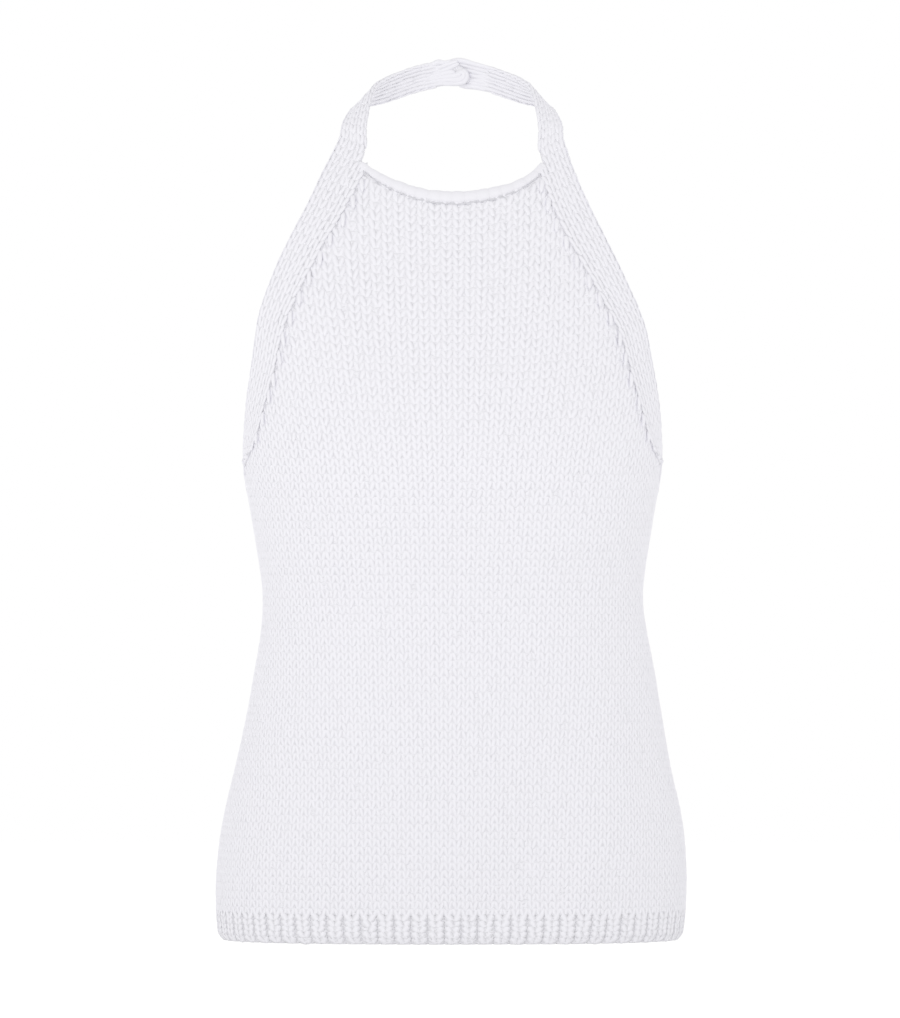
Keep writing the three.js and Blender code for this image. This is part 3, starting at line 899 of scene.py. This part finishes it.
def hem_rib(side_name, back):
    columns = 12 * RIBS_EACH_SIDE + 1
    rib = np.linspace(0, RIBS_EACH_SIDE, columns)[None, :]
    course = np.linspace(0, RIB_COURSES, 19)[:, None]
    rib, course = np.broadcast_arrays(rib, course)
    points, outs = rib_place(back, rib.ravel(), course.ravel())
    z = points[:, 2]
    rise = rib_rise(rib.ravel(), z)
    outer = points + outs * (rise - 0.12)[:, None]
    inner = points - outs * (WALL + 0.2)
    shape = (*rib.shape, 3)
    marks = np.stack([rib, course, np.zeros_like(rib)], -1).reshape(-1, 3)
    cloth = thin_cloth(f"hem_rib_{side_name}_cloth", outer.reshape(shape), inner.reshape(shape), marks)
    keep(cloth, cloth_cotton, f"hem_rib_{side_name}")

    def place(wale, course):
        points, outs = rib_place(back, wale, course)
        rise = rib_rise(wale, points[:, 2])
        return points + outs * rise[:, None], outs

    middles, levels = np.meshgrid(np.arange(RIBS_EACH_SIDE) + 0.5, np.arange(RIB_COURSES) + 0.3)
    # flatter and closer than the panel's stitches
    leg = LEG.copy()
    leg[:, 0] *= 0.86
    leg[:, 2] = 0.55 * leg[:, 2] - 0.02
    leg[:, 4] *= 0.4
    bundle = knit_loops(place, middles.ravel(), levels.ravel(), RIB_LOOP_WIDTH, leg=leg, rough=0.35)
    loops = keep(made_mesh(f"hem_rib_{side_name}_loops", *bundle), rib_cotton)
    # dark slivers of painted shade in the tops of the valleys between the ribs
    valleys = np.arange(1.0, RIBS_EACH_SIDE)
    n = len(valleys)
    valleys = valleys + uneven(n, 0.02)
    spots, outs = rib_place(back, valleys, RIB_COURSES - 0.5 + uneven(n, 0.08))
    below, _ = rib_place(back, valleys, np.full(n, RIB_COURSES - 1.0))
    above, _ = rib_place(back, valleys + 0.06 + uneven(n, 0.03), np.full(n, RIB_COURSES - 0.1))
    notch_shade = gap_shade_slivers(
        f"hem_rib_{side_name}_notches", spots - outs * 0.55, unit(above - below), outs,
        4.6 + uneven(n, 0.7), 0.42 + uneven(n, 0.06),
    )
    return cloth, [loops, notch_shade]


rib_front, rib_front_loops = hem_rib("front", False)
rib_back, rib_back_loops = hem_rib("back", True)


# Straps
EDGE_INSET = 1.6
END_ROUNDING = 3.5
END_PUFF = 0.35
INNER_STRETCH = 2.1
# Length of each strap's inner face at the nape that has strands of its own
NAPE_STRANDS_FROM = {-1: 24, 1: 30}

# Strands at the nape, on the inner face: x, share down the strap, how far they stand out
# and half their width. The -X end is gathered and curls round, and the +X one comes from under it.
NAPE_STRANDS = {
    -1: [
        [
            (-34, 0.9, 0, 1.0), (-20, 0.88, 0.2, 1.4), (-8, 0.87, 0.4, 1.7), (2, 0.9, 0.7, 1.8),
            (7.5, 0.82, 0.9, 1.9), (10.4, 0.66, 0.9, 1.9), (10.4, 0.46, 0.7, 1.7),
            (7, 0.33, 0.3, 1.3),
        ],
        [
            (-33, 0.75, 0, 1.0), (-18, 0.76, 0.3, 1.5), (-6, 0.76, 0.9, 1.9),
            (3, 0.76, 1.2, 2.1), (8, 0.64, 1.2, 2.1), (8.4, 0.48, 1.0, 1.8), (5, 0.4, 0.5, 1.2),
        ],
        [
            (-32, 0.61, 0, 1.0), (-17, 0.64, 0.3, 1.5), (-6, 0.63, 0.9, 1.9), (2, 0.6, 1.1, 2.0),
            (6, 0.5, 0.9, 1.7), (3, 0.44, 0.4, 1.2),
        ],
        [
            (-31, 0.47, 0, 1.0), (-16, 0.51, 0.3, 1.5), (-7, 0.5, 0.6, 1.6),
            (-1, 0.48, 0.7, 1.5), (2, 0.45, 0.3, 1.1),
        ],
        [
            (-29, 0.33, 0, 1.1), (-15, 0.39, 0.3, 1.4), (-7, 0.36, 0.7, 1.6),
            (-1, 0.26, 0.9, 1.6), (5, 0.1, 0.6, 1.3),
        ],
        [
            (-29, 0.19, 0, 1.1), (-15, 0.24, 0.3, 1.4), (-8, 0.2, 0.6, 1.6),
            (-2, 0.12, 0.8, 1.5), (4, 0.02, 0.4, 1.1),
        ],
        [
            (-29, 0.05, 0, 1.1), (-17, 0.08, 0.2, 1.5), (-11, 0.02, 0.5, 1.9),
            (-6, 0.07, 0.3, 1.4), (-1, 0.02, 0.2, 1.1),
        ],
    ],
    1: [
        [
            (-5, 0.1, 0.2, 1.0), (2, 0.0, 0.9, 1.7), (9, -0.01, 1.0, 1.9), (16, 0.04, 0.6, 1.7),
            (34, 0.06, 0, 1.1),
        ],
        [(1, 0.16, 0.2, 1.0), (8, 0.13, 0.7, 1.6), (18, 0.19, 0.4, 1.6), (34, 0.21, 0, 1.1)],
        [(7, 0.3, 0.1, 1.0), (13, 0.31, 0.5, 1.6), (23, 0.35, 0.3, 1.5), (34, 0.36, 0, 1.1)],
        [(11, 0.46, 0.0, 1.0), (17, 0.49, 0.4, 1.6), (26, 0.51, 0.3, 1.5), (35, 0.52, 0, 1.1)],
        [(12, 0.72, 0.0, 1.0), (17, 0.67, 0.5, 1.6), (26, 0.65, 0.3, 1.5), (35, 0.66, 0, 1.1)],
        [(9, 0.8, 0.0, 1.0), (16, 0.78, 0.5, 1.6), (26, 0.77, 0.3, 1.5), (35, 0.77, 0, 1.1)],
        [(5, 0.95, 0.2, 1.2), (10, 0.94, 0.7, 1.8), (18, 0.91, 0.4, 1.7), (36, 0.89, 0, 1.1)],
    ],
}


def centripetal(points, at):
    """Points of a smooth curve through the given ones; at runs from 0 to their number less 1."""
    points = np.asarray(points, float)
    before = np.concatenate([[2 * points[0] - points[1]], points, [2 * points[-1] - points[-2]]])
    i = np.clip(np.floor(at).astype(int), 0, len(points) - 2)
    p = (at - i)[..., None]
    p0, p1, p2, p3 = (before[i + k] for k in range(4))

    def gap(a, b):
        return np.sqrt(np.linalg.norm(a - b, axis=-1, keepdims=True))

    d0, d1, d2 = gap(p0, p1), gap(p1, p2), gap(p2, p3)
    start = ((p1 - p0) / d0 - (p2 - p0) / (d0 + d1) + (p2 - p1) / d1) * d1
    end = ((p2 - p1) / d1 - (p3 - p1) / (d1 + d2) + (p3 - p2) / d2) * d1
    c2 = -3 * p1 + 3 * p2 - 2 * start - end
    c3 = 2 * p1 - 2 * p2 + start + end
    return p1 + start * p + c2 * p**2 + c3 * p**3


BAND_SHARES = np.linspace(0, 1, 9)


def strap_grid(side):
    """Outer face of the band and strap, from the underarm to the nape, with its directions."""
    edge_z, edge_arc, line_z, line_arc = (row[:, None] for row in BAND)
    z = line_z + (edge_z - line_z) * BAND_SHARES
    arc = side * (line_arc + (edge_arc - line_arc) * BAND_SHARES)
    on_body, body_out = body_place(z, arc)
    before_last = round((1 - 1 / BAND_STEPS) * (BAND.shape[1] - 1))
    rows = np.concatenate([STRAP_ROWS, STRAP_ROWS[-2:-1] * [-1, 1, 1]]) * [side, 1, 1]
    rows[..., 0] = swayed(rows[..., 0], rows[..., 2])
    edges = [
        np.concatenate([on_body[[before_last, -1], column], rows[:, k]])
        for k, column in ((0, 0), (1, -1))
    ]
    lap = LAP_END.at(BAND_SHARES)["x"] if side < 0 else np.full(len(BAND_SHARES), -float(LAP_SHORT_END_X))
    pitch = STRAP_ROWS[-2, 0, 0] - STRAP_ROWS[-1, 0, 0]
    base_end = len(STRAP_ROWS) + 1 + lap.mean() / pitch
    part = np.linspace(0, 1, 141)[1:, None]
    at = 1 + (base_end - 1) * part + (lap - lap.mean()) / pitch * smooth_step(part, 0.8, 1)
    neck, arm = centripetal(edges[0], at), centripetal(edges[1], at)
    ahead = centripetal(edges[0], at + 0.05) - centripetal(edges[0], at - 0.05)
    out = unit(np.cross(arm - neck, ahead)) * side
    share = BAND_SHARES[None, :, None]
    spots = neck + (arm - neck) * share
    spots = spots + out * (STRAP_CROWN * 4 * share * (1 - share) * np.minimum(1, at - 1)[..., None])
    near_lap = 1 - smooth_step(np.abs(spots[..., 0]), 8, LAP_START_X)
    if side > 0:
        spots[..., 1] += near_lap * (WALL + SEAM_GAP)
    points = np.concatenate([on_body, spots])
    outs = np.concatenate([body_out, out])
    for _ in range(6):
        outs[1:-1] = unit(outs[:-2] + 2 * outs[1:-1] + outs[2:])
    return points, outs


def nape_strands(strap):
    """Strands on the inner face at the nape, placed by their x and share down the strap."""
    bundles = []
    rows = slice(len(strap.points) - 80, None)
    for strand in NAPE_STRANDS[strap.side]:
        knots = np.array(strand, float)
        at = np.linspace(0, len(knots) - 1, 6 * len(knots))
        knots = centripetal(knots * [1, 20, 1, 1], at) / [1, 20, 1, 1]
        spots, outs = [], []
        for x, share, *_ in knots:
            column = np.clip(share, 0, 0.999) * (len(BAND_SHARES) - 1)
            j, b = int(column), column % 1
            points, out = (
                grid[rows, j] * (1 - b) + grid[rows, j + 1] * b for grid in (strap.points, strap.outs)
            )
            order = np.argsort(points[:, 0])
            keys = points[order, 0]
            spot = [np.interp(x, keys, points[order, k]) for k in range(3)]
            # past the strap's end the strand goes on in the same direction
            spot[0] = x
            down = strap.points[rows, -1] - strap.points[rows, 0]
            spot = np.array(spot) + down.mean(0) * (share - np.clip(share, 0, 1))
            spots.append(spot)
            outs.append([-np.interp(x, keys, out[order, k]) for k in range(3)])
        outs = unit(np.array(outs))
        lines = np.array(spots) + outs * (WALL - 0.9 + knots[:, 2:3])
        half_widths, half_depths = 1.2 * knots[:, 3], 0.58 * knots[:, 3]
        bundles.append(yarn(lines[None], outs[None], half_widths[None], half_depths[None], np.array([0.6])))
    return joined(bundles)


class Strap:
    """Edge band and halter strap on one side, as a cloth that can be asked for its places."""

    def __init__(self, side):
        self.side = side
        self.points, self.outs = strap_grid(side)
        middle = self.points[:, 4]
        steps = np.linalg.norm(np.diff(middle, axis=0), axis=1)
        self.along = np.concatenate([[0], np.cumsum(steps)])
        self.length = self.along[-1]
        self.body_length = self.along[BAND.shape[1] - 1]

    def grid_at(self, grid, share, along):
        row = np.interp(along, self.along, np.arange(len(self.along)))
        row = np.clip(row, 0, len(self.along) - 1.001)
        column = np.clip(share, 0, 1) * (len(BAND_SHARES) - 1.001)
        i, j = row.astype(int), column.astype(int)
        a, b = (row - i)[:, None], (column - j)[:, None]
        low = grid[i, j] * (1 - b) + grid[i, j + 1] * b
        high = grid[i + 1, j] * (1 - b) + grid[i + 1, j + 1] * b
        return low * (1 - a) + high * a

    def place(self, share, along):
        """Point of the outer face and its direction. share runs from the neck edge to the arm edge."""
        points = self.grid_at(self.points, share, along)
        outs = unit(self.grid_at(self.outs, share, along))
        across = self.grid_at(self.points, np.ones_like(share), along)
        across = unit(across - self.grid_at(self.points, np.zeros_like(share), along))
        over = np.where(share > 1, share - 1, np.minimum(share, 0))[:, None] * BAND_WIDTH
        return points + across * over, outs

    def swell(self, along):
        """Thickness near the end at the nape: the -X strap's end is puffed up and rounds off."""
        left = self.length - along
        if self.side > 0:
            return np.ones_like(left), np.ones_like(left)
        rounding = np.sqrt(1 - (1 - np.clip(left / END_ROUNDING, 0, 1)) ** 2)
        return (1 + END_PUFF * np.exp(-(((left - 8) / 9) ** 2))) * rounding, rounding

    def round_place(self, turn, along):
        """turn runs round the strap: outer wales, arm edge, inner wales and neck edge."""
        wales = STRAP_WALES
        turn = turn % (2 * wales + 2)
        outside, inside = turn < wales, (turn > wales + 1) & (turn <= 2 * wales + 1)
        arm_edge = (turn >= wales) & (turn <= wales + 1)
        back_again = (2 * wales + 1 - turn) / wales
        share = np.select([outside, inside, arm_edge], [turn / wales, back_again, 1.0], 0.0)
        zeros, ones = np.zeros_like(share), np.ones_like(share)
        near, far = self.grid_at(self.points, zeros, along), self.grid_at(self.points, ones, along)
        width = np.linalg.norm(far - near, axis=-1)
        inset = EDGE_INSET / width
        free = smooth_step(along, self.body_length - 6, self.body_length + 6)
        share = inset * free + share * (1 - inset * (1 + free))
        points, outs = self.place(share, along)
        across = unit(far - near)
        puffed, rounding = self.swell(along)
        edge_turn = np.where(arm_edge, turn - wales, turn - 2 * wales - 1) * math.pi
        angle = np.select([outside, inside, arm_edge], [0.0, math.pi, edge_turn], math.pi + edge_turn)
        direction = outs * np.cos(angle)[:, None] + across * np.sin(angle)[:, None]
        thick = np.where(inside, puffed, rounding)[:, None] * WALL / 2
        return points - outs * WALL / 2 + direction * thick, direction


def band_marks(name, strap):
    """Where the front was narrowed along the band: leaning stitches, each with a dark sliver of painted shade
    in the small gap above.
    """
    along = np.arange(10, strap.body_length - 26, MARK_STEP)
    along = along + uneven(len(along), 1.1)
    n, stations = len(along), len(MARK_STRAND)

    def on_line(across, onward):
        share = np.broadcast_to((np.asarray(across) - MARK_INSET) / BAND_WIDTH, onward.shape)
        points, outs = strap.place(share.ravel(), onward.ravel())
        return points.reshape(*onward.shape, 3), outs.reshape(*onward.shape, 3)

    points, outs = on_line(MARK_STRAND[:, 0] + uneven((n, 1), 0.25), along[:, None] + MARK_STRAND[:, 1])
    lines = points + outs * MARK_STRAND[:, 2:3]
    half_widths = np.broadcast_to(MARK_STRAND[:, 3], (n, stations)) * (1 + uneven((n, 1), 0.06))
    strands = yarn(lines, outs, half_widths, 0.5 * half_widths, rng.random(n))

    # the slivers of painted shade in the gaps stand along the band line, some long and some short
    onward = along + 9.2 + uneven(n, 0.7)
    spots, outs = on_line(-1.3 + uneven(n, 0.3), onward)
    ahead, _ = on_line(-1.0 * np.ones(n), onward + 2)
    behind, _ = on_line(-1.8 * np.ones(n), onward - 2)
    lengths = 5.2 + uneven(n, 0.9)
    half_widths = np.full(n, 0.5)
    spots = spots + outs * 0.22
    gaps = gap_shade_slivers(f"{name}_gaps", spots, unit(ahead - behind), outs, lengths, half_widths)
    return strands, gaps


def strap_piece(name, side):
    strap = Strap(side)
    along = np.linspace(0, strap.length, 170)[:, None]
    share = np.linspace(0, 1, 9)[None, :]
    share, along = np.broadcast_arrays(share, along)
    inset = EDGE_INSET / BAND_WIDTH * smooth_step(along, strap.body_length - 6, strap.body_length + 6)
    points, outs = strap.place((inset + share * (1 - inset - EDGE_INSET / BAND_WIDTH)).ravel(), along.ravel())
    shape = (*share.shape, 3)
    points, outs = points.reshape(shape), outs.reshape(shape)
    marks = np.stack([share * 4, along / STRAP_COURSE, np.zeros_like(share)], -1)
    if side < 0:
        points, outs, marks = points[:, ::-1], outs[:, ::-1], marks[:, ::-1]
    outer, inner = points - outs * CLOTH_DEPTH, points - outs * (WALL - 0.2)
    cloth = thin_cloth(f"{name}_cloth", outer, inner, marks.reshape(-1, 3))
    keep(cloth, cloth_cotton, name)

    count = int(strap.length / STRAP_COURSE)
    pitch = strap.length / count
    turns = np.array([*range(STRAP_WALES + 1), 2 * STRAP_WALES + 1]) + 0.5
    turns, courses = np.meshgrid(turns, np.arange(count) + 0.1)
    turns, courses = turns.ravel(), courses.ravel()
    # on the body, no yarn runs along the line where the band joins the panel
    loose = (turns < STRAP_WALES + 1) | (courses * pitch > strap.body_length)
    # at the nape, strands of their own take over from the loops
    loose &= (turns < STRAP_WALES) | (courses * pitch < strap.length - NAPE_STRANDS_FROM[side])
    turns, courses = turns[loose], courses[loose]
    # the inner face is pulled long, so that its stitches look like ridges
    inner_turns, inner_courses = np.meshgrid(
        np.arange(STRAP_WALES) + STRAP_WALES + 1.5,
        np.arange(int((strap.length - NAPE_STRANDS_FROM[side]) / (INNER_STRETCH * pitch))) + 0.1,
    )
    inner_turns, inner_courses = inner_turns.ravel(), inner_courses.ravel()
    inner_courses = inner_courses + 0.33 * (inner_turns % 3)
    inner_leg = STRAP_LEG.copy()
    inner_leg[:, 0] = 0.25 + 0.2 * (inner_leg[:, 0] - 0.24)
    edge = (turns % (STRAP_WALES + 1)) > STRAP_WALES
    widths = np.where(edge, 4.7, BAND_WIDTH / STRAP_WALES)
    widths = widths * (1 - 0.12 * smooth_step(courses * pitch, strap.body_length, strap.length))

    def place(turn, course):
        return strap.round_place(turn, course * pitch)

    def inner_place(turn, course):
        return strap.round_place(turn, course * pitch * INNER_STRETCH)

    marks, gaps = band_marks(name, strap)
    # one more wale runs beside the band, on the panel's edge, up to the neckline corner
    beside = np.arange(int((strap.body_length - 10) / pitch)) + 0.1

    def beside_place(turn, course):
        return strap.place(turn / STRAP_WALES, course * pitch)

    bundle = [
        knit_loops(place, turns, courses, widths, leg=STRAP_LEG),
        knit_loops(beside_place, np.full(len(beside), -0.5), beside, BAND_WIDTH / STRAP_WALES, leg=STRAP_LEG),
        knit_loops(inner_place, inner_turns, inner_courses, 0.9 * BAND_WIDTH / STRAP_WALES, leg=inner_leg),
        nape_strands(strap),
        marks,
    ]
    loops = keep(made_mesh(f"{name}_loops", *joined(bundle)), strap_cotton)
    return cloth, [loops, gaps]


strap_left, strap_left_loops = strap_piece("strap_left", -1)
strap_right, strap_right_loops = strap_piece("strap_right", 1)


# Rolled neckline
# Width of one stitch along the roll
ROLL_STITCH = 8.9


def neck_roll():
    steps, sides = 260, 14
    share = np.linspace(-1, 1, steps)
    z, arc = roll_z(share), share * ROLL_END_ARC
    points, outs = body_place(z, arc)
    along = unit(np.gradient(points, axis=0))
    up = unit(np.cross(outs, along))
    up = np.where(up[:, 2:] < 0, -up, up)
    wandering = arc + 1.5 * np.sin(arc * 0.21) + 0.8 * np.sin(arc * 0.47 + 1)
    lobe = np.abs(np.sin(math.pi * wandering / ROLL_STITCH)) ** 0.5
    size = 0.88 + 0.12 * lobe + 0.07 * np.sin(arc * 0.31 + 1) * np.sin(arc * 0.113)
    high = roll_half_height(share) * size
    deep = (ROLL_HALF_DEPTH + (ROLL_END_HALF_DEPTH - ROLL_HALF_DEPTH) * share**2) * size
    middle = points + outs * (ROLL_STANDS_OUT - WALL / 2)
    angle = 2 * math.pi * np.arange(sides) / sides
    rings = (
        middle[:, None]
        + up[:, None] * (high[:, None] * np.cos(angle))[..., None]
        + outs[:, None] * (deep[:, None] * np.sin(angle))[..., None]
    )
    ring = np.arange(steps * sides).reshape(steps, sides)
    onward = np.roll(ring, -1, axis=1)
    quads = np.stack([ring[:-1], onward[:-1], onward[1:], ring[1:]], -1).reshape(-1, 4)
    caps = [(ring[0, 0], ring[0, k + 1], ring[0, k]) for k in range(1, sides - 1)]
    caps += [(ring[-1, 0], ring[-1, k], ring[-1, k + 1]) for k in range(1, sides - 1)]
    marks = np.zeros((steps, sides, 3))
    marks[..., 0] = (arc / ROLL_STITCH)[:, None]
    marks[..., 1] = np.arange(sides) / sides
    marks[..., 2] = 0.6
    roll = made_mesh("neck_roll_edge", rings, quads, caps, marks.reshape(-1, 3))
    return keep(roll, roll_cotton, "neck_roll")


def roll_shadows():
    """Painted shade: dark slivers in the small gaps where the front's last stitches go in under the roll."""
    n = 38
    share = np.linspace(-0.9, 0.9, n)
    arc = share * ROLL_END_ARC + uneven(n, 0.8)
    z = neckline_z(arc) - 0.3 + uneven(n, 0.35)
    spots, outs = body_place(z, arc)
    ahead, _ = body_place(neckline_z(arc + 1) + uneven(n, 0.2), arc + 1)
    behind, _ = body_place(neckline_z(arc - 1) + uneven(n, 0.2), arc - 1)
    lengths = 5.4 + uneven(n, 1.0)
    half_widths = 0.7 - 0.3 * share**2 + uneven(n, 0.07)
    return gap_shade_slivers(
        "neck_roll_gap_shade", spots + outs * 0.55, unit(ahead - behind), outs, lengths, half_widths
    )


roll = neck_roll()
roll_gaps = roll_shadows()


# Floor, light and camera
def pale_floor():
    """White floor that glows, with the glow dimmed right under the top as a painted soft shadow."""
    finish = Finish("pale floor")
    place = finish.node("ShaderNodeTexCoord").outputs["Object"]
    length = finish.node("ShaderNodeVectorMath", {"operation": "LENGTH"}, _0=place).outputs["Value"]
    # the glow is low near the point under the top and full farther out: painted shadow
    away = ((finish.number(length) - 0.86) * 2).limited(0, 1)
    glow = finish.node("ShaderNodeMix", {"data_type": "RGBA"}, Factor=away)
    glow.inputs[6].default_value = (0.1, 0.1, 0.1, 1)
    glow.inputs[7].default_value = (1, 1, 1, 1)
    shader = finish.node("ShaderNodeBsdfPrincipled", Roughness=0.9)
    shader.inputs["Base Color"].default_value = (0.9, 0.9, 0.9, 1)
    finish.put(shader, "Emission_Color", glow.outputs[2])
    shader.inputs["Emission Strength"].default_value = 0.5
    finish.node("ShaderNodeOutputMaterial", Surface=shader.outputs[0])
    reach, level = 6000, -760
    corners = [(-reach, -reach, level), (reach, -reach, level), (reach, reach, level), (-reach, reach, level)]
    floor = made_mesh("floor", corners, [(0, 1, 2, 3)])
    floor.data.materials.append(finish.material)


def soft_light(name, place, target, size, power):
    lamp = bpy.data.lights.new(name, "AREA")
    lamp.shape, lamp.size, lamp.energy = "SQUARE", size, power
    light = bpy.data.objects.new(name, lamp)
    light.location = place
    back = np.array(place, float) - np.array(target, float)
    flat = math.hypot(back[0], back[1])
    light.rotation_euler = (math.atan2(flat, back[2]), 0, math.atan2(back[0], -back[1]))
    bpy.context.scene.collection.objects.link(light)


def studio_light(world):
    """White behind the top and along the horizon, soft in front, and dimmer at both sides."""
    light = Finish(world.name, world)
    direction = light.node("ShaderNodeTexCoord").outputs["Generated"]
    parts = light.node("ShaderNodeSeparateXYZ", Vector=direction)
    stops = [(0.0, FRONT_LIGHT), (0.3, FRONT_LIGHT), (0.5, SIDE_LIGHT), (0.85, SIDE_LIGHT), (0.95, 1.0)]
    curve = light.node(
        "ShaderNodeValToRGB",
        {"stops": [(place, (level, level, level)) for place, level in stops]},
        Fac=0.5 + 0.5 * light.number(parts.outputs["Y"]),
    )
    horizon = (2 - 10 * abs(light.number(parts.outputs["Z"]))).limited(0, 1)
    mixed = light.node("ShaderNodeMix", {"data_type": "RGBA"}, Factor=horizon, _6=curve.outputs["Color"])
    mixed.inputs[7].default_value = (1, 1, 1, 1)
    background = light.node("ShaderNodeBackground", Color=mixed.outputs[2])
    light.node("ShaderNodeOutputWorld", Surface=background.outputs[0])


FRONT_LIGHT, SIDE_LIGHT = 0.86, 0.52
pale_floor()
world = bpy.data.worlds.new("white studio")
world.use_nodes = True
studio_light(world)
bpy.context.scene.world = world
bpy.context.scene.view_settings.view_transform = "Standard"
bpy.context.scene.view_settings.gamma = 2.2
soft_light("key", (-1.7, -3.1, 0.9), (0, -0.1, -0.35), 1.6, 13)

# The picture's frame: level with its middle and 8 m away
PICTURE_HEIGHT = 1018
PIXEL = 0.74
VIEW_HEIGHT = PICTURE_HEIGHT * PIXEL * MM
CAMERA_DISTANCE = 8.0
AIM_X, AIM_Y, AIM_Z = -1.85, -65, -326.3
lens = bpy.data.cameras.new("camera")
lens.sensor_width = 36
lens.lens = 36 * CAMERA_DISTANCE / VIEW_HEIGHT
lens.clip_end = 100
camera = bpy.data.objects.new("camera", lens)
camera.location = (AIM_X * MM, AIM_Y * MM - CAMERA_DISTANCE, AIM_Z * MM)
camera.rotation_euler = (math.pi / 2, 0, 0)
bpy.context.scene.collection.objects.link(camera)
bpy.context.scene.camera = camera
